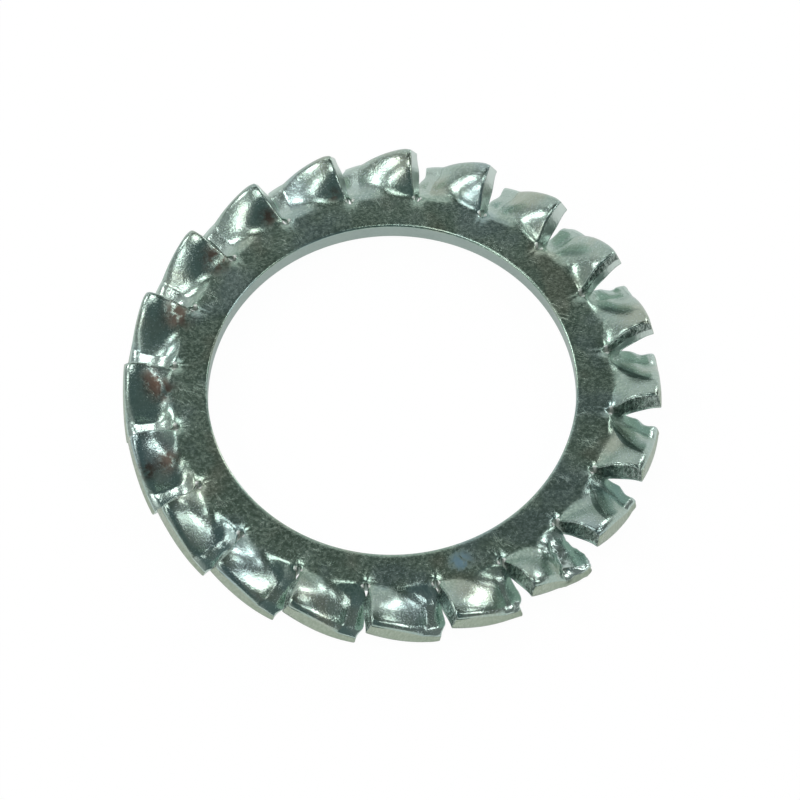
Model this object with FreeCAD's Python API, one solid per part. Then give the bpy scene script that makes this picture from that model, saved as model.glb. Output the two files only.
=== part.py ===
import FreeCAD, Part
import math
import os

# An external toothed lock washer: a flat ring of spring steel strip with a crown of twisted teeth.
# It is one stamped piece. The slots between the teeth are punched out of the blank, and a die then
# twists each tooth, so that one side edge stands above the ring and the other hangs below it.
# The origin is the centre of the bore, halfway through the ring, and +Z is the bore's axis.

# Driving sizes of the blank, in millimetres
bore_radius = 12.5
ring_width = 2.3
tooth_length = 3.25
thickness = 1.5
tooth_count = 20
slot_width = 0.85
slot_end_depth = 0.15

# The punch rolls the bore's upper edge over and leaves the lower one sharp
bore_edge_break = 0.15

# The twist, as heights of the tooth's corners at its tip, measured from the ring's own two faces
raised_edge_lift = 1.32
raised_edge_under_lift = 1.65
toe_depth = 0.8
low_edge_drop = 0.46
low_edge_roll = 0.45

# How far the tip and the cut sides lean once the tooth is twisted
tip_lean = 0.25
raised_top_lean = 0.4
raised_under_lean = 0.07
low_top_lean = 0.17
low_under_lean = 0.09

# The die squeezes the middle of the low upper edge out into the slot
low_edge_bulge = 0.35

# The fold is the crease between the sloping web and the flat toe, as a share of the tooth's width
fold_share_root = 0.80
fold_share_tip = 0.73

# How steeply the web and the underside fall towards the low side
web_arch = 1.7
under_arch = 1.7

# A tooth is built up from rows at these shares of its length. The web's twist grows steeply from
# the root, the toe drops at once, and the side edges bulge most at the middle
row_places = (0.0, 0.25, 0.55, 1.0)
web_twist = (0.0, 0.6, 0.95, 1.0)
toe_twist = (0.0, 0.9, 1.0, 1.0)
bulge_rows = (0.0, 0.8, 1.0, 0.0)
web_pole_count = 4
toe_pole_count = 2

# Angle of the first tooth, seen from above, with the teeth counted clockwise from it
first_tooth_angle = 91.5

# Teeth that stand higher or lower than the rest, by this much at the raised edge
lift_change = {4: 0.3, 10: -0.4, 11: -0.35, 15: 0.25}

# One tooth was crushed under the die: its toe is wide and its metal is pushed outwards
crushed_tooth = 9
crushed_fold_share = 0.5
crushed_spread = 0.5
crushed_lift_change = -0.2

root_radius = bore_radius + ring_width
tip_radius = root_radius + tooth_length
half_pitch = 180.0 / tooth_count
top_z = thickness / 2
under_z = -thickness / 2


def at_angle(radius, angle, height):
    turn = math.radians(angle)
    return FreeCAD.Vector(radius * math.cos(turn), radius * math.sin(turn), height)


def tooth_angle(tooth):
    return first_tooth_angle - 2 * half_pitch * (tooth - 1)


def blank_half_angle(radius):
    """Half the angle of a tooth in the flat blank, where the slots have parallel sides."""
    return half_pitch - math.degrees(math.asin(slot_width / 2 / radius))


def fold_share(tooth, row):
    tip_share = crushed_fold_share if tooth == crushed_tooth else fold_share_tip
    return fold_share_root + (tip_share - fold_share_root) * row_places[row]


def tooth_point(tooth, row, across, height, outer_radius, raised_lean, low_lean):
    """A pole of a tooth's face, from the raised edge at across 0 to the low edge at across 1."""
    along = row_places[row]
    radius = root_radius + along * (outer_radius - root_radius)
    if tooth == crushed_tooth and along == 1:
        radius += crushed_spread * max(across - crushed_fold_share, 0) / (1 - crushed_fold_share)
    half = blank_half_angle(radius)
    raised = math.degrees(raised_lean / radius) - half
    low = math.degrees(low_lean / radius) + half
    return at_angle(radius, tooth_angle(tooth) + raised + across * (low - raised), height)


def tooth_lift(tooth):
    if tooth == crushed_tooth:
        return crushed_lift_change
    return lift_change.get(tooth, 0.0)


def top_point(tooth, row, across):
    fold = fold_share(tooth, row)
    lift = (raised_edge_lift + tooth_lift(tooth)) * web_twist[row]
    dip = toe_depth * toe_twist[row]
    arch = min(across / fold, 1.0) ** web_arch
    roll = low_edge_roll * web_twist[row] if across == 1 else 0.0
    height = top_z + lift * (1 - arch) - dip * arch - roll
    raised_lean = raised_top_lean * row_places[row]
    low_lean = low_top_lean * row_places[row] + low_edge_bulge * bulge_rows[row]
    return tooth_point(tooth, row, across, height, tip_radius, raised_lean, low_lean)


def under_point(tooth, row, across):
    lift = raised_edge_under_lift + tooth_lift(tooth)
    arch = (1 - across) ** under_arch
    height = under_z + web_twist[row] * (lift * arch - low_edge_drop * (1 - arch))
    raised_lean = -raised_under_lean * row_places[row]
    low_lean = low_under_lean * row_places[row]
    return tooth_point(tooth, row, across, height, tip_radius + tip_lean, raised_lean, low_lean)


def curve_through_poles(poles):
    curve = Part.BezierCurve()
    curve.setPoles(poles)
    return curve.toShape()


def strips(rows, next_rows):
    """One straight-ruled face between each row of poles and its partner."""
    starts = [curve_through_poles(row) for row in rows]
    ends = [curve_through_poles(row) for row in next_rows]
    return [Part.makeRuledSurface(start, end) for start, end in zip(starts, ends)]


def tooth_rows(point, tooth, is_toe):
    """Rows of poles for the web, from the raised edge to the fold, or for the toe beyond it."""
    poles = toe_pole_count if is_toe else web_pole_count
    rows = []
    for row in range(len(row_places)):
        fold = fold_share(tooth, row)
        start, end = (fold, 1.0) if is_toe else (0.0, fold)
        places = [start + (end - start) * pole / (poles - 1) for pole in range(poles - 1)] + [end]
        rows.append([point(tooth, row, place) for place in places])
    return rows


def tooth_faces(tooth):
    """The faces of one tooth, open at its root, and the edges that it shares with the ring."""
    top_web = tooth_rows(top_point, tooth, False)
    top_toe = tooth_rows(top_point, tooth, True)
    under_web = tooth_rows(under_point, tooth, False)
    under_toe = tooth_rows(under_point, tooth, True)
    faces = []
    for rows in (top_web, top_toe, under_web, under_toe):
        faces += strips(rows, rows[1:])
    faces += strips([top_web[-1], top_toe[-1]], [under_web[-1], under_toe[-1]])
    for row in range(len(row_places) - 1):
        raised_sides = [[side[row][0], side[row + 1][0]] for side in (top_web, under_web)]
        low_sides = [[side[row][-1], side[row + 1][-1]] for side in (top_toe, under_toe)]
        faces += strips([raised_sides[0], low_sides[0]], [raised_sides[1], low_sides[1]])
    top_edges = [curve_through_poles(top_web[0]), curve_through_poles(top_toe[0])]
    under_edges = [curve_through_poles(under_web[0]), curve_through_poles(under_toe[0])]
    return faces, top_edges, under_edges


def slot_end(tooth, height):
    """The rounded inner end of the slot between a tooth's low edge and its neighbour's raised edge."""
    half = blank_half_angle(root_radius)
    start = at_angle(root_radius, tooth_angle(tooth) + half, height)
    middle = at_angle(root_radius - slot_end_depth, tooth_angle(tooth) + half_pitch, height)
    end = at_angle(root_radius, tooth_angle(tooth) + 2 * half_pitch - half, height)
    return Part.Arc(start, middle, end).toShape()


def bore_faces():
    """The bore's wall and the break on its upper edge."""
    profile = [
        FreeCAD.Vector(bore_radius + bore_edge_break, 0, top_z),
        FreeCAD.Vector(bore_radius, 0, top_z - bore_edge_break),
        FreeCAD.Vector(bore_radius, 0, under_z),
    ]
    axis_point = FreeCAD.Vector(0, 0, 0)
    axis = FreeCAD.Vector(0, 0, 1)
    sides = [Part.makeLine(start, end) for start, end in zip(profile, profile[1:])]
    return [side.revolve(axis_point, axis, 360) for side in sides]


def ring_face(outer_edges, inner_radius, height):
    outer = Part.Wire(Part.__sortEdges__(outer_edges))
    inner = Part.Wire([Part.makeCircle(inner_radius, FreeCAD.Vector(0, 0, height))])
    return Part.Face(outer).cut(Part.Face(inner)).Faces[0]


def washer():
    faces = []
    top_outline = []
    under_outline = []
    for tooth in range(1, tooth_count + 1):
        own_faces, top_edges, under_edges = tooth_faces(tooth)
        end_edge = slot_end(tooth, top_z)
        faces += own_faces
        faces.append(end_edge.extrude(FreeCAD.Vector(0, 0, -thickness)))
        top_outline += top_edges + [end_edge]
        under_outline += under_edges + [slot_end(tooth, under_z)]
    for side in bore_faces():
        faces += side.Faces
    faces.append(ring_face(top_outline, bore_radius + bore_edge_break, top_z))
    faces.append(ring_face(under_outline, bore_radius, under_z))
    shell = Part.makeShell(faces)
    shell.sewShape()
    return Part.makeSolid(Part.Shell(shell.Faces))


lock_washer = washer()
if lock_washer.Volume < 0:
    lock_washer.reverse()

os.makedirs("parts", exist_ok=True)
lock_washer.exportStep("parts/lock_washer.step")
box = lock_washer.BoundBox
print("valid", lock_washer.isValid(), "closed", lock_washer.isClosed(), "volume", round(lock_washer.Volume, 2))
print("size", round(box.XLength, 2), round(box.YLength, 2), round(box.ZLength, 2), "lowest", round(box.ZMin, 3))
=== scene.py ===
import bpy
import math
from mathutils import Matrix, Vector


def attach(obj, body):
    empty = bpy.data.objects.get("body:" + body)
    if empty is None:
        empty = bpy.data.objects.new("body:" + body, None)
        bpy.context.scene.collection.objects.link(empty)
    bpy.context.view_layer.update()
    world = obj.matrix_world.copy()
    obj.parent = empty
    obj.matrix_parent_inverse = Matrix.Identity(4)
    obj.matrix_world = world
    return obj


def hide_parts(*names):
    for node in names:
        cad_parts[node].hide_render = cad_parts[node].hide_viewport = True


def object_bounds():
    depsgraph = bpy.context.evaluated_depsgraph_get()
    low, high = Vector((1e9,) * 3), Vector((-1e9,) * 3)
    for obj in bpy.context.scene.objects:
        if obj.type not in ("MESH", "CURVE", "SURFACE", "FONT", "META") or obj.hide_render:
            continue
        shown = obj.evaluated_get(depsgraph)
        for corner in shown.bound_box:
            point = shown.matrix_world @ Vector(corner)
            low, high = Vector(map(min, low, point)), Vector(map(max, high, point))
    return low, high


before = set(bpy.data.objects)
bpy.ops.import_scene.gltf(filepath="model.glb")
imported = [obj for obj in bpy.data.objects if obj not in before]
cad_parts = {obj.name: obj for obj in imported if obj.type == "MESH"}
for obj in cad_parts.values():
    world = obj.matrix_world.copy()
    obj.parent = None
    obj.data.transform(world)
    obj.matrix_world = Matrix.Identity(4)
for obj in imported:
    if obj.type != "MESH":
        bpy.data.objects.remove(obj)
cad_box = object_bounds()

# The washer
# One piece of spring steel strip, 1.5 mm thick. The bore and the slots are punched, the teeth are
# twisted in a die, and the finished washer is tumbled and zinc plated. Every tooth follows one
# rule, so a node tree builds the ring and the teeth from the sizes below, in millimetres.

MM = 0.001
tooth_count = 20
pitch = 2 * math.pi / tooth_count
first_tooth_angle = math.radians(91.5)
washer_sizes = {
    "Bore radius": 12.5,
    "Ring width": 2.3,
    "Tooth length": 3.35,
    "Thickness": 1.5,
    "Slot width at the root": 0.32,
    "Slot width at the tip": 0.85,
    "Slot end depth": 0.15,
    "Raised edge lift": 1.32,
    "Raised edge under lift": 1.62,
    "Toe depth": 0.8,
    "Low edge roll": 0.42,
    "Low edge drop": 0.46,
    "Tip lean": 0.15,
    "Raised top lean": 0.4,
    "Raised under lean": 0.07,
    "Low top lean": 0.17,
    "Low under lean": 0.09,
    "Tip edge round": 0.26,
    "Raised corner round": 0.06,
    "Low lip": 0.5,
    "Raised lip": 0.4,
    "Slot corner dip": 0.14,
    "Fold place at the root": 0.82,
    "Fold place at the tip": 0.73,
    "Crushed fold shift": 0.22,
    "Crushed spread": 0.35,
    "Crushed roughness": 0.34,
}

# What differs from tooth to tooth. Teeth are counted clockwise from the far one, and the number at
# the end of a line holds for all that it doesn't name
tooth_changes = {
    # These stand higher or lower than the rest, in millimetres
    "lift_extra": ({4: 0.3, 6: 0.08, 10: -0.4, 11: -0.35, 13: -0.15, 15: 0.25}, 0.0),
    # The toe of this one was crushed under the die
    "crushed": ({9: 1.0}, 0.0),
    # Where the low edge's lip ends, as a share of the tooth's length. On these it ends early, in a step
    "lip_end": ({2: 0.62, 3: 0.62, 5: 0.58, 6: 0.62, 7: 0.66, 8: 0.7}, 0.88),
    # Burrs on the low corner of the tip, as a share of the crushed tooth's roughness
    "burr": ({3: 0.15, 4: 0.4, 5: 0.45, 6: 0.2, 7: 0.25, 8: 0.35, 10: 0.6, 11: 0.25}, 0.0),
    # How deep the punch's ribs reach into the raised cut side, as a share of the sheet
    "rib_end": ({1: 0.0, 2: 0.0, 3: 0.1, 4: 0.5, 5: 0.55, 19: 0.0, 20: 0.0}, 0.85),
    # How dark the painted reflection across the web is, a dark leaf for the neighbour's cut face mirrored
    # there
    "painted_reflection_strength": ({5: 0.4, 6: 0.85, 7: 1.0, 8: 1.0}, 0.0),
}

# Steps of the mesh: across the web, across the toe, across a slot, along a tooth, across the
# ring and through the sheet
web_steps = 13
toe_steps = 5
slot_steps = 6
tooth_steps = 12
ring_steps = 5
sheet_steps = 5

# How strongly the steps crowd towards both ends of their run, so that the edges stay crisp
web_crowding = 0.55
toe_crowding = 0.6
tooth_crowding = 0.5
ring_crowding = 0.75
sheet_crowding = 0.55


def feed(tree, value, socket):
    """Links an output to a socket, or sets the socket to a plain number or colour."""
    if isinstance(value, Formula):
        value = value.socket
    if isinstance(value, bpy.types.NodeSocket):
        tree.links.new(value, socket)
    else:
        socket.default_value = value


class Formula:
    """A number in a node tree, so that a rule can be written as plain arithmetic."""

    def __init__(self, tree, socket):
        self.tree = tree
        self.socket = socket

    def calculate(self, operation, *others):
        """A math node on this number and the others."""
        node = self.tree.nodes.new("ShaderNodeMath")
        node.operation = operation
        for value, socket in zip((self,) + others, node.inputs):
            feed(self.tree, value, socket)
        return Formula(self.tree, node.outputs[0])

    def __add__(self, other):
        return self.calculate("ADD", other)

    def __radd__(self, other):
        return self.calculate("ADD", other)

    def __sub__(self, other):
        return self.calculate("SUBTRACT", other)

    def __rsub__(self, other):
        return self.calculate("MULTIPLY_ADD", -1.0, other)

    def __mul__(self, other):
        return self.calculate("MULTIPLY", other)

    def __truediv__(self, other):
        return self.calculate("DIVIDE", other)

    def __pow__(self, other):
        return self.calculate("POWER", other)

    def __abs__(self):
        return self.calculate("ABSOLUTE")

    def up_to(self, other):
        return self.calculate("MINIMUM", other)

    def at_least(self, other):
        return self.calculate("MAXIMUM", other)

    def over(self, other):
        return self.calculate("GREATER_THAN", other)

    def towards(self, other, share):
        """This number moved a share of the way to another one."""
        return self + (other - self) * share

    def ramp(self, low, high, bottom=0.0, top=1.0):
        """The bottom value at low, the top value at high, and smooth in between. Low may lie above high."""
        node = self.tree.nodes.new("ShaderNodeMapRange")
        node.interpolation_type = "SMOOTHSTEP"
        names = ("Value", "From Min", "From Max", "To Min", "To Max")
        for name, value in zip(names, (self, low, high, bottom, top)):
            feed(self.tree, value, node.inputs[name])
        return Formula(self.tree, node.outputs["Result"])


class NodeTree:
    """A node tree that is filled by short calls."""

    def __init__(self, tree):
        self.tree = tree

    def add(self, kind, **settings):
        node = self.tree.nodes.new(kind)
        for name, value in settings.items():
            setattr(node, name, value)
        return node

    def fill(self, node, values):
        """Feeds a node's inputs, which are given by name or place."""
        for socket, value in values.items():
            feed(self.tree, value, node.inputs[socket])
        return node

    def parts(self, vector):
        """The x, y and z of a vector."""
        split = self.fill(self.add("ShaderNodeSeparateXYZ"), {0: vector})
        return [Formula(self.tree, output) for output in split.outputs]


class WasherTree(NodeTree):
    """The node tree that makes the washer, with one named input for each size."""

    def __init__(self, name, sizes):
        super().__init__(bpy.data.node_groups.new(name, "GeometryNodeTree"))
        self.tree.is_modifier = True
        interface = self.tree.interface
        interface.new_socket("Geometry", in_out="INPUT", socket_type="NodeSocketGeometry")
        for size in sizes:
            interface.new_socket(size, in_out="INPUT", socket_type="NodeSocketFloat")
        interface.new_socket("Material", in_out="INPUT", socket_type="NodeSocketMaterial")
        interface.new_socket("Geometry", in_out="OUTPUT", socket_type="NodeSocketGeometry")
        self.inputs = self.add("NodeGroupInput")
        self.outputs = self.add("NodeGroupOutput")

    def size(self, name):
        return Formula(self.tree, self.inputs.outputs[name])

    def stored(self, name):
        """A number that every corner of the mesh carries."""
        node = self.add("GeometryNodeInputNamedAttribute", data_type="FLOAT")
        self.fill(node, {"Name": name})
        return Formula(self.tree, node.outputs["Attribute"])

    def store(self, geometry, numbers):
        """Makes every corner of the mesh carry these numbers."""
        for name, value in numbers.items():
            node = self.add("GeometryNodeStoreNamedAttribute", data_type="FLOAT", domain="POINT")
            self.fill(node, {"Geometry": geometry, "Name": name, "Value": value})
            geometry = node.outputs["Geometry"]
        return geometry

    def position(self):
        return self.add("GeometryNodeInputPosition").outputs[0]

    def without_faces(self, geometry, unwanted):
        node = self.add("GeometryNodeDeleteGeometry", domain="FACE", mode="ALL")
        return self.fill(node, {"Geometry": geometry, "Selection": unwanted}).outputs["Geometry"]

    def block(self, steps_across, steps_along, is_tooth):
        """A hollow block of unit size, whose corners know how far across, along and through they are."""
        cube = self.add("GeometryNodeMeshCube")
        for name, steps in zip("XYZ", (steps_across, steps_along, sheet_steps)):
            cube.inputs[f"Vertices {name}"].default_value = steps + 1
        cube.inputs["Size"].default_value = (1, 1, 1)
        across, along, upwards = [axis + 0.5 for axis in self.parts(self.position())]
        numbers = {"across": across, "along": along, "through": 1 - upwards, "is_tooth": is_tooth}
        return self.store(cube.outputs["Mesh"], numbers), across, along


def closer_at_ends(share, crowding):
    """Runs from 0 to 1 with smaller steps near both ends, the more so the higher the crowding."""
    wave = 0.5 - (share * math.pi).calculate("COSINE") * 0.5
    return share.towards(wave, crowding)


def twist_growth(reach, steepness):
    """How far the twist has come: level with the ring at the root, and level again at the tip."""
    return 1 - (1 - reach) ** steepness * (reach * steepness + 1)


washer = WasherTree("Toothed washer", washer_sizes)
rounding_margin = 0.0001

# The tooth's block is open at its root, and the ring's block at both ends and behind each tooth
tooth_columns = web_steps + toe_steps
tooth_block, across, along = washer.block(tooth_columns, tooth_steps, 1.0)
tooth_block = washer.without_faces(tooth_block, (rounding_margin - along).over(0.0))
ring_columns = tooth_columns + slot_steps
ring_block, across, along = washer.block(ring_columns, ring_steps, 0.0)
at_an_end = abs(across - 0.5).over(0.5 - rounding_margin)
behind_tooth = along.over(1 - rounding_margin) * (tooth_columns / ring_columns - across).over(0.0)
ring_block = washer.without_faces(ring_block, at_an_end.at_least(behind_tooth))
both = washer.add("GeometryNodeJoinGeometry")
washer.fill(both, {"Geometry": ring_block})
washer.fill(both, {"Geometry": tooth_block})

# One copy for each corner of the seed mesh, which carries the tooth's number and its own changes
copies = washer.add("GeometryNodeInstanceOnPoints")
washer.fill(copies, {"Points": washer.inputs.outputs["Geometry"], "Instance": both.outputs["Geometry"]})
real = washer.add("GeometryNodeRealizeInstances")
washer.fill(real, {"Geometry": copies.outputs["Instances"]})

# Where each corner lies: the share across the tooth from its raised edge, along it and through it
number = washer.stored("tooth")
lift_extra = washer.stored("lift_extra")
crushed = washer.stored("crushed")
is_tooth = washer.stored("is_tooth")
along = washer.stored("along")
column = washer.stored("across") * (is_tooth * tooth_columns + (1 - is_tooth) * ring_columns)
in_slot = column.over(tooth_columns + rounding_margin)
slot_share = ((column - tooth_columns) / slot_steps).at_least(0.0)
through = closer_at_ends(washer.stored("through"), sheet_crowding)
above = 1 - through
reach = is_tooth * closer_at_ends(along, tooth_crowding)
web_share = closer_at_ends((column / web_steps).up_to(1.0), web_crowding)
toe_column = ((column - web_steps) / toe_steps).at_least(0.0)
toe_share = closer_at_ends(toe_column.up_to(1.0), toe_crowding)
fold = washer.size("Fold place at the root").towards(washer.size("Fold place at the tip"), reach)
fold = fold - crushed * washer.size("Crushed fold shift") * reach
share = web_share * fold + toe_share * (1 - fold)

# Height of the upper side: the web arches down from the raised edge to the toe, whose edge rolls over
web_curve = 1.55
toe_curve = 1.5
web_steepness = 4
toe_steepness = 8
web_growth = twist_growth(reach, web_steepness)
toe_growth = twist_growth(reach, toe_steepness)
half_sheet = washer.size("Thickness") * 0.5
lift = washer.size("Raised edge lift") + lift_extra
arch = web_share ** web_curve
web_height = lift * web_growth * (1 - arch) - washer.size("Toe depth") * toe_growth * arch
roll = washer.size("Low edge roll") * web_growth * toe_share ** toe_curve
corner_round = washer.size("Raised corner round") * reach.ramp(0.9, 1.0) * share.ramp(0.0, 0.09, 1.0, 0.0)
tip_round_start = 0.87
tip_round_curve = 2.2
past_start = ((reach - tip_round_start) / (1 - tip_round_start)).at_least(0.0)
tip_edge = past_start ** tip_round_curve * washer.size("Tip edge round")
top_height = half_sheet + web_height - roll - corner_round - tip_edge

# Height of the under side, which falls in one curve from the raised edge to the low one
under_curve = 1.6
under_arch = (1 - share) ** under_curve
under_rise = (washer.size("Raised edge under lift") + lift_extra) * under_arch
under_fall = washer.size("Low edge drop") * (1 - under_arch)
under_height = web_growth * (under_rise - under_fall) - half_sheet

# Radius: the ring from the bore to the root, then the tooth, whose tip leans out below
root_radius = washer.size("Bore radius") + washer.size("Ring width")
slot_end = 1 - abs(slot_share * 2 - 1) ** 3
ring_outside = root_radius - washer.size("Slot end depth") * slot_end * in_slot
ring_radius = washer.size("Bore radius").towards(ring_outside, closer_at_ends(along, ring_crowding))
squeezed = crushed * washer.size("Crushed spread") * reach ** 2 * share.ramp(0.4, 1.0)
tip_reach = washer.size("Tooth length") + washer.size("Tip lean") * through + squeezed
tip_reach = tip_reach - corner_round * above
radius = ring_radius.towards(root_radius + tip_reach * reach, is_tooth)

# The die squeezes a lip out of the low edge above and out of the raised edge below
lip_end = washer.stored("lip_end")
lip_step = 0.08
low_lip = washer.size("Low lip") * reach.ramp(0.0, 0.3)
low_lip = low_lip * reach.ramp(lip_end - lip_step, lip_end + lip_step, 1.0, 0.0) * (1 - crushed * 0.6)
raised_lip = washer.size("Raised lip") * reach.ramp(0.0, 0.25) * reach.ramp(0.45, 1.0, 1.0, 0.0)

# Angle, from the tooth's raised edge to its low edge and on across the slot
slot_width = washer.size("Slot width at the root")
slot_width = slot_width.towards(washer.size("Slot width at the tip"), reach.ramp(0.0, 0.45))
half_slot = slot_width * 0.5 / radius.at_least(root_radius)
half_tooth = pitch / 2 - half_slot.calculate("ARCSINE")
raised_lean = washer.size("Raised top lean") * above - washer.size("Raised under lean") * through
low_lean = washer.size("Low top lean") * above + washer.size("Low under lean") * through
raised_turn = (raised_lean * reach - raised_lip * through) / radius
low_turn = (low_lean * reach + low_lip * above) / radius
low_side = share.ramp(0.45, 1.0)
tooth_turn = (0 - half_tooth).towards(half_tooth, share)
tooth_turn = tooth_turn + raised_turn * (1 - low_side) + low_turn * low_side
slot_turn = half_tooth + (pitch - half_tooth * 2) * slot_share
turn = tooth_turn.towards(slot_turn, in_slot)
angle = first_tooth_angle - number * pitch + turn

# The punch draws the sheet's upper edge down at the two corners of each slot's inner end
dip_sharpness = 13.0
tooth_corner_distance = (abs(turn) - half_tooth) * radius
slot_corner_distance = (slot_share - slot_share.over(0.5)) * (pitch - half_tooth * 2) * radius
corner_across = tooth_corner_distance.towards(slot_corner_distance, in_slot)
corner_along = radius - root_radius
corner_fall = (corner_across * corner_across + corner_along * corner_along) * -dip_sharpness
corner_dip = washer.size("Slot corner dip") * corner_fall.calculate("EXPONENT")
height = (top_height - corner_dip).towards(under_height, through)

# Everything is placed, sewn together and smoothed
corner = washer.add("ShaderNodeCombineXYZ")
washer.fill(corner, {
    "X": radius * angle.calculate("COSINE") * MM,
    "Y": radius * angle.calculate("SINE") * MM,
    "Z": height * MM,
})
placed = washer.add("GeometryNodeSetPosition")
washer.fill(placed, {"Geometry": real.outputs["Geometry"], "Position": corner.outputs[0]})
numbered = washer.store(placed.outputs["Geometry"], {
    "reach": reach,
    "share": share,
    "depth": through,
    "crossing": web_share + toe_share,
})
sewn = washer.add("GeometryNodeMergeByDistance")
washer.fill(sewn, {"Geometry": numbered, "Distance": 0.002 * MM})
fine = washer.add("GeometryNodeSubdivisionSurface")
washer.fill(fine, {"Mesh": sewn.outputs["Geometry"], "Level": 1})

# The crushed toe and the burrs are rough: their surface is moved about by noise
rough_toe = washer.stored("crushed") * washer.stored("share").ramp(0.42, 0.62)
rough_toe = rough_toe * washer.stored("reach").ramp(0.1, 0.4)
burr_place = washer.stored("share").ramp(0.78, 0.97) * washer.stored("reach").ramp(0.45, 0.85)
noise_strength = 2.6
lump_scale = 1250.0
roughening = rough_toe + washer.stored("burr") * burr_place
roughening = roughening * washer.size("Crushed roughness") * (noise_strength * MM)
lumps = washer.add("ShaderNodeTexNoise")
washer.fill(lumps, {"Vector": washer.position(), "Scale": lump_scale, "Detail": 2.0, "Roughness": 0.6})
centred = washer.add("ShaderNodeVectorMath", operation="SUBTRACT")
washer.fill(centred, {0: lumps.outputs["Color"], 1: (0.5, 0.5, 0.5)})
flattened = washer.add("ShaderNodeVectorMath", operation="MULTIPLY")
washer.fill(flattened, {0: centred.outputs[0], 1: (1, 1, 0.5)})
moved = washer.add("ShaderNodeVectorMath", operation="SCALE")
washer.fill(moved, {0: flattened.outputs[0], "Scale": roughening})
roughened = washer.add("GeometryNodeSetPosition")
washer.fill(roughened, {"Geometry": fine.outputs["Mesh"], "Offset": moved.outputs[0]})

# The way from the unit blocks to the washer mirrors them, so the faces are turned outwards again
outward = washer.add("GeometryNodeFlipFaces")
washer.fill(outward, {"Mesh": roughened.outputs["Geometry"]})
smooth = washer.add("GeometryNodeSetShadeSmooth")
washer.fill(smooth, {"Geometry": outward.outputs["Mesh"]})
coated = washer.add("GeometryNodeSetMaterial")
washer.fill(coated, {"Geometry": smooth.outputs["Geometry"], "Material": washer.inputs.outputs["Material"]})
washer.fill(washer.outputs, {"Geometry": coated.outputs["Geometry"]})


class Finish(NodeTree):
    """The node tree of a material, or of the room around the washer."""

    def noise(self, place, scale, detail=2.0, roughness=0.5, distortion=0.0):
        node = self.add("ShaderNodeTexNoise")
        self.fill(node, {
            "Vector": place,
            "Scale": scale,
            "Detail": detail,
            "Roughness": roughness,
            "Distortion": distortion,
        })
        return Formula(self.tree, node.outputs["Fac"])

    def mix(self, share, first, second):
        """A colour between two others."""
        node = self.fill(self.add("ShaderNodeMix", data_type="RGBA"), {0: share, 6: first, 7: second})
        return node.outputs[2]

    def attribute(self, name):
        node = self.add("ShaderNodeAttribute", attribute_name=name)
        return Formula(self.tree, node.outputs["Fac"])


def strongest(masks):
    """The highest of several masks at each place."""
    highest = masks[0]
    for mask in masks[1:]:
        highest = highest.at_least(mask)
    return highest


# The washer's finish: bright zinc, a little green, over tumbled steel. The ring keeps the strip's
# fine grain, the teeth are smoother, and the cut faces show the ribs of the punch
tones = {
    "dark grain": (0.305, 0.43, 0.355, 1),
    "pale grain": (0.48, 0.615, 0.52, 1),
    "formed zinc": (0.46, 0.57, 0.52, 1),
    "bluish zinc": (0.36, 0.48, 0.56, 1),
    "yellowish zinc": (0.48, 0.49, 0.38, 1),
    "clouded zinc": (0.37, 0.46, 0.44, 1),
    "scratch": (0.80, 0.86, 0.78, 1),
    # Painted sparkle: the pale speckles of the pits
    "painted sparkle": (0.58, 0.72, 0.78, 1),
    # Painted reflection: the dark leaf that stands for a neighbour's cut face mirrored in a web
    "painted dark reflection": (0.15, 0.22, 0.19, 1),
    "brown stain": (0.115, 0.075, 0.056, 1),
    "blue patch": (0.21, 0.35, 0.44, 1),
    # Painted light: the toes' paler tone
    "painted light toe": (0.62, 0.76, 0.70, 1),
    "torn toe": (0.62, 0.76, 0.72, 1),
    "between ribs": (0.12, 0.16, 0.14, 1),
    "rib": (0.40, 0.48, 0.44, 1),
    "smooth cut": (0.68, 0.78, 0.73, 1),
    "dark tip": (0.36, 0.44, 0.34, 1),
    "pale tip": (0.46, 0.54, 0.44, 1),
    "bore wall": (0.40, 0.49, 0.455, 1),
    # Painted glint: the near-white slot corners
    "painted glint": (0.98, 1.0, 0.96, 1),
}
zinc = bpy.data.materials.new("zinc_plated_steel")
zinc.use_nodes = True
steel = Finish(zinc.node_tree)
place = steel.add("ShaderNodeTexCoord").outputs["Object"]

# What the mesh carries: how far out along a tooth, across it and through the sheet each corner lies
reach = steel.attribute("reach")
share = steel.attribute("share")
crossing = steel.attribute("crossing")
depth = steel.attribute("depth")
on_tooth = steel.attribute("is_tooth")
formed = reach.ramp(0.03, 0.4)
upper_face = depth.ramp(0.04, 0.12, 1.0, 0.0)
on_cut = depth.ramp(0.04, 0.12) * depth.ramp(0.96, 0.88)
on_tip = reach.ramp(0.985, 0.998)

# Patterns of the plated surface, each with its scale, from the coarse ones to the finest
hue = steel.noise(place, 240.0)
waves = steel.noise(place, 260.0)
clouds = steel.noise(place, 420.0, detail=3.0, roughness=0.55)
grain = steel.noise(place, 4800.0, detail=4.0, roughness=0.66)
pits = steel.noise(place, 7500.0)
sparks = steel.noise(place, 9500.0, detail=1.0)

# Thin scratches lie where a drawn-out noise passes one level. Each set of them is given by its
# direction in radians and by its length over its width
scratch_level = 0.63
scratch_lines = []
for direction, stretch in ((0.3, 14.0), (1.25, 20.0), (2.1, 12.0), (2.75, 16.0)):
    lay = steel.add("ShaderNodeMapping", vector_type="TEXTURE")
    steel.fill(lay, {"Vector": place, "Rotation": (0, 0, direction), "Scale": (1.0, 1 / stretch, 1.0)})
    streaks = steel.noise(lay.outputs[0], 190.0, detail=1.0, distortion=0.4)
    scratch_lines.append(abs(streaks - scratch_level).ramp(0.0, 0.006, 1.0, 0.0))
broken = steel.noise(place, 700.0, detail=1.0).ramp(0.5, 0.7)
scratch_marks = strongest(scratch_lines) * broken * (1 - formed * 0.2)

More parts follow.
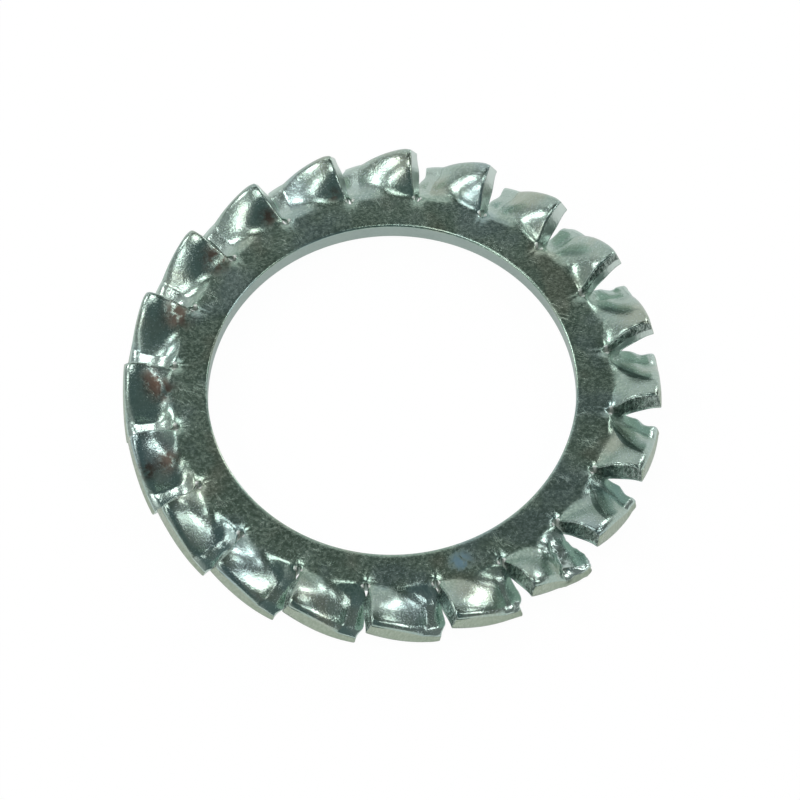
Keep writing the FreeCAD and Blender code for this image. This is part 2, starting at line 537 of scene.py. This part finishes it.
# Ribs of the punch run through the sheet, on the raised cut side of each tooth. They are narrow
# along that side and across the tip, long through the sheet, and not the same on two teeth
rib_place = steel.add("ShaderNodeCombineXYZ")
steel.fill(rib_place, {
    "X": reach * 3.3 + share * 4.6,
    "Y": steel.attribute("tooth") * 7.3,
    "Z": depth * 0.5,
})
ribs = steel.noise(rib_place.outputs[0], 7.0, roughness=0.6)
rib_end = steel.attribute("rib_end")
sheared = depth.ramp(rib_end + 0.05, rib_end - 0.05) * share.ramp(0.3, 0.05) * on_tooth

# The zinc itself, with its grain, clouds and scratches
grained = steel.mix(grain.ramp(0.38, 0.66), tones["dark grain"], tones["pale grain"])
base = steel.mix(formed * 0.5, grained, tones["formed zinc"])
base = steel.mix(hue.ramp(0.5, 0.66, 0.0, 0.35), base, tones["bluish zinc"])
base = steel.mix(hue.ramp(0.48, 0.34, 0.0, 0.45), base, tones["yellowish zinc"])
base = steel.mix(clouds.ramp(0.5, 0.75) * 0.35, base, tones["clouded zinc"])
base = steel.mix(scratch_marks * 0.25, base, tones["scratch"])

# Tiny pits in the formed faces are rougher, and their pale bluish colour is painted sparkle, light caught
# from all sides
pits_and_painted_sparkle = sparks.ramp(0.60, 0.74) * formed * upper_face
base = steel.mix(pits_and_painted_sparkle * 0.5, base, tones["painted sparkle"])

# Painted reflection: a dark leaf across the web, from the crease at the root to the tip, for the
# neighbour's cut face
leaf_middle = (1 - reach) ** 1.6 * 0.7 + 0.36
leaf_width = (reach - 0.05) * (0.9 - reach) * 0.45
past_leaf = abs(crossing - leaf_middle) - leaf_width
painted_reflection_leaf = past_leaf.ramp(0.012, -0.012) * steel.attribute("painted_reflection_strength") * upper_face
base = steel.mix(painted_reflection_leaf, base, tones["painted dark reflection"])

# Brown stains on the left teeth and a bluish patch on the ring: x, y, z and reach in millimetres
stains = {
    "brown stain": (
        (-12.0, 9.9, 1.1, 1.6), (-14.6, 5.6, 1.1, 1.7), (-16.3, 0.5, 1.4, 1.3), (-15.6, 0.0, 0.9, 1.5),
        (-15.2, -5.4, 0.9, 1.4), (-16.5, -6.2, 1.1, 1.0), (-8.4, 13.2, 1.0, 1.0), (-3.9, 14.8, 1.2, 0.8),
    ),
    "blue patch": ((4.4, -13.1, 0.8, 1.1),),
}
patchy = steel.noise(place, 1500.0, detail=4.0, roughness=0.65).ramp(0.34, 0.56)
stain_masks = []
for tone, spots in stains.items():
    for x, y, z, size in spots:
        away = steel.add("ShaderNodeVectorMath", operation="DISTANCE")
        steel.fill(away, {0: place, 1: (x * MM, y * MM, z * MM)})
        distance = Formula(steel.tree, away.outputs["Value"])
        stain = distance.ramp(0.25 * size * MM, size * MM, 0.9, 0.0) * patchy
        base = steel.mix(stain, base, tones[tone])
        stain_masks.append(stain)
stained = strongest(stain_masks)

# The toes are painted paler, a painted light for what their surroundings cast on them, and the crushed one
# is torn
painted_toe_light = crossing.ramp(0.98, 1.08) * upper_face * formed
base = steel.mix(painted_toe_light * 0.6, base, tones["painted light toe"])
torn = steel.attribute("crushed") * share.ramp(0.5, 0.65) * formed
base = steel.mix(torn * 0.8, base, tones["torn toe"])

# The cut faces: ribbed or smooth at a tooth's sides, grey at its tip and even on the bore's wall
ribbed = steel.mix(ribs.ramp(0.36, 0.64), tones["between ribs"], tones["rib"])
tip_tone = steel.mix(ribs.ramp(0.3, 0.7), tones["dark tip"], tones["pale tip"])
cut_tone = steel.mix(sheared, tones["smooth cut"], ribbed)
cut_tone = steel.mix(on_tip, cut_tone, tip_tone)
cut_tone = steel.mix(on_tooth, tones["bore wall"], cut_tone)
base = steel.mix(on_cut, base, cut_tone)

# The punch leaves a small dome on both corners of each slot's inner end, just outside them. Its near-white
# colour is a painted glint
dome_radius = (washer_sizes["Bore radius"] + washer_sizes["Ring width"] + 0.1) * MM
dome_offset = (washer_sizes["Slot width at the root"] / 2 + 0.01) * MM
east, north = steel.parts(place)[:2]
from_axis = (east * east + north * north).calculate("SQRT")
slots_passed = (north.calculate("ARCTAN2", east) + (4 * math.pi - first_tooth_angle)) / pitch
off_centre = abs(slots_passed.calculate("FRACT") - 0.5)
dome_across = off_centre * (dome_radius * pitch) - dome_offset
dome_along = from_axis - dome_radius
dome_distance = (dome_across * dome_across + dome_along * dome_along).calculate("SQRT")
dome_and_painted_glint = dome_distance.ramp(0.05 * MM, 0.20 * MM, 1.0, 0.0)
base = steel.mix(dome_and_painted_glint, base, tones["painted glint"])

# Pits, domes and stains are rougher than the zinc around them, ribbed cuts less so than smooth ones
roughness = grain.ramp(0.3, 0.7, 0.14, 0.24) + clouds.ramp(0.35, 0.7, 0.0, 0.06)
roughness = roughness * (1 - formed * 0.3) + on_cut * sheared.ramp(0.0, 1.0, 0.24, 0.1)
roughness = roughness + pits_and_painted_sparkle * 0.16 + dome_and_painted_glint * 0.4 + stained * 0.25

# The relief adds up the heights of these patterns, in units of 22 thousandths of a millimetre
relief_unit = 0.022 * MM
relief = (grain * 0.55 + pits * 0.3) * (1 + formed * 0.2) + waves * 1.1 - scratch_marks * 0.12
relief = relief + ribs * on_cut * (sheared + 0.35) * on_tooth * 4.0 + dome_and_painted_glint * 1.6
bump = steel.add("ShaderNodeBump")
steel.fill(bump, {"Strength": 1.0, "Distance": relief_unit, "Height": relief})
metal = steel.tree.nodes["Principled BSDF"]
steel.fill(metal, {"Base Color": base, "Roughness": roughness, "Metallic": 1.0, "Normal": bump.outputs[0]})

# The seed has one corner for each tooth, and the tree turns it into the finished washer
seed_mesh = bpy.data.meshes.new("washer_seed")
seed_mesh.from_pydata([(0, 0, 0)] * tooth_count, [], [])
seed_numbers = {"tooth": [float(tooth) for tooth in range(tooth_count)]}
for name, (changes, usual) in tooth_changes.items():
    seed_numbers[name] = [changes.get(tooth, usual) for tooth in range(1, tooth_count + 1)]
for name, numbers in seed_numbers.items():
    seed_mesh.attributes.new(name, "FLOAT", "POINT").data.foreach_set("value", numbers)
seed = bpy.data.objects.new("washer_seed", seed_mesh)
bpy.context.scene.collection.objects.link(seed)
modifier = seed.modifiers.new("Toothed washer", "NODES")
modifier.node_group = washer.tree
for socket in washer.tree.interface.items_tree:
    if socket.in_out == "INPUT" and socket.name in washer_sizes:
        modifier[socket.identifier] = washer_sizes[socket.name]
    elif socket.name == "Material":
        modifier[socket.identifier] = zinc
depsgraph = bpy.context.evaluated_depsgraph_get()
finished = bpy.data.meshes.new_from_object(seed.evaluated_get(depsgraph), depsgraph=depsgraph)
body = bpy.data.objects.new("washer", finished)
bpy.context.scene.collection.objects.link(body)
bpy.data.objects.remove(seed)
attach(body, "root")
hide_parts("lock_washer")

# The camera
# It looks down on the washer from in front, 63 degrees above the table and a third of a metre away.
# Its long lens and its small shifts put the washer where the photograph has it.

view_height = math.radians(62.59)
view_distance = 0.3365
camera_roll = math.radians(-0.86)
camera_data = bpy.data.cameras.new("photo_camera")
camera_data.lens = 223.5
camera_data.sensor_width = 36
camera_data.shift_x = 0.0101
camera_data.shift_y = -0.0159
camera_data.clip_start = 0.01
camera = bpy.data.objects.new("photo_camera", camera_data)
bpy.context.scene.collection.objects.link(camera)
away = Vector((0, -math.cos(view_height), math.sin(view_height)))
ring_top = Vector((0, 0, washer_sizes["Thickness"] / 2 * MM))
turned = away.to_track_quat("Z", "Y").to_matrix().to_4x4() @ Matrix.Rotation(camera_roll, 4, "Z")
camera.matrix_world = Matrix.Translation(ring_top + away * view_distance) @ turned
bpy.context.scene.camera = camera

# The floor and the light
# A white table that glows for the camera, and more weakly for the metal, so that the background is
# white and keeps the washer's shadow. Around it stands a room with pale walls and soft boxes.

table_half = 3.0
table_white = (0.9, 0.9, 0.9, 1)
table_glow = 1.03
glow_share = 0.94
glow_in_metal = 0.62
table_level = cad_box[0][2] - 0.02 * MM
table_signs = ((-1, -1), (1, -1), (1, 1), (-1, 1))
table_corners = [(x * table_half, y * table_half, table_level) for x, y in table_signs]
floor_mesh = bpy.data.meshes.new("floor")
floor_mesh.from_pydata(table_corners, [], [(0, 1, 2, 3)])
floor = bpy.data.objects.new("floor", floor_mesh)
bpy.context.scene.collection.objects.link(floor)
white = bpy.data.materials.new("white_table")
white.use_nodes = True
table = Finish(white.node_tree)
paint = table.tree.nodes["Principled BSDF"]
table.fill(paint, {"Base Color": table_white, "Roughness": 0.9})
glow = table.add("ShaderNodeEmission")
table.fill(glow, {"Strength": table_glow})
light_path = table.add("ShaderNodeLightPath")
for_camera = Formula(table.tree, light_path.outputs["Is Camera Ray"])
for_metal = Formula(table.tree, light_path.outputs["Is Glossy Ray"]) * glow_in_metal
blend = table.add("ShaderNodeMixShader")
table.fill(blend, {0: for_camera.at_least(for_metal) * glow_share, 1: paint.outputs[0], 2: glow.outputs[0]})
table.fill(table.tree.nodes["Material Output"], {"Surface": blend.outputs[0]})
floor_mesh.materials.append(white)

# The room is dark above and on the camera's side, lighter on the right and more so on the left. It
# is brightest behind the washer and below the level of the table
world = bpy.data.worlds.new("studio")
bpy.context.scene.world = world
world.use_nodes = True
room = Finish(world.node_tree)
right, back, up = room.parts(room.add("ShaderNodeTexCoord").outputs["Generated"])
ceiling = room.mix(back.ramp(0.2, -0.2), (0.095, 0.11, 0.10, 1), (0.11, 0.145, 0.15, 1))
walls = room.mix(right.ramp(0.25, 0.6), ceiling, (0.20, 0.21, 0.21, 1))
walls = room.mix(right.ramp(-0.25, -0.6), walls, (0.36, 0.37, 0.37, 1))
back_wall = room.mix(right.ramp(0.0, 0.6), (0.72, 0.72, 0.72, 1), (0.45, 0.45, 0.45, 1))
walls = room.mix(back.ramp(0.52, 0.68), walls, back_wall)
surround = room.mix(up.ramp(0.05, 0.0), walls, (0.8, 0.8, 0.8, 1))
room.fill(room.tree.nodes["Background"], {"Color": surround})

# Soft boxes: direction around and up in degrees, width and height in metres, and brightness
soft_boxes = {
    "left_back_box": (160, 34, 0.10, 0.12, 6.0),
    "left_front_box": (-157, 45, 0.10, 0.08, 5.5),
    "left_halo": (168, 40, 0.24, 0.26, 0.2),
    "left_top_box": (174, 78, 0.15, 0.15, 3.7),
    "left_low_box": (212, 32, 0.14, 0.16, 0.7),
    "back_window": (53, 20, 0.07, 0.09, 6.0),
    "back_halo": (53, 20, 0.17, 0.17, 0.9),
    "back_right_box": (31, 40, 0.09, 0.08, 4.0),
    "right_low_box": (-5, 34, 0.10, 0.08, 6.5),
    "right_high_box": (-21, 50, 0.06, 0.06, 6.5),
    "right_halo": (-12, 36, 0.20, 0.20, 0.15),
    "back_left_box": (124, 46, 0.035, 0.045, 4.5),
}
lamp_distance = 0.5
for name, (turn_around, turn_up, width, tall, brightness) in soft_boxes.items():
    lamp_data = bpy.data.lights.new(name, "AREA")
    lamp_data.shape = "RECTANGLE"
    lamp_data.size = width
    lamp_data.size_y = tall
    lamp_data.energy = brightness * math.pi * width * tall
    lamp = bpy.data.objects.new(name, lamp_data)
    bpy.context.scene.collection.objects.link(lamp)
    around = math.radians(turn_around)
    upwards = math.radians(turn_up)
    level = math.cos(upwards)
    outwards = Vector((math.cos(around) * level, math.sin(around) * level, math.sin(upwards)))
    lamp.location = outwards * lamp_distance
    lamp.rotation_euler = outwards.to_track_quat("Z", "Y").to_euler()

bpy.context.scene.view_settings.view_transform = "Standard"
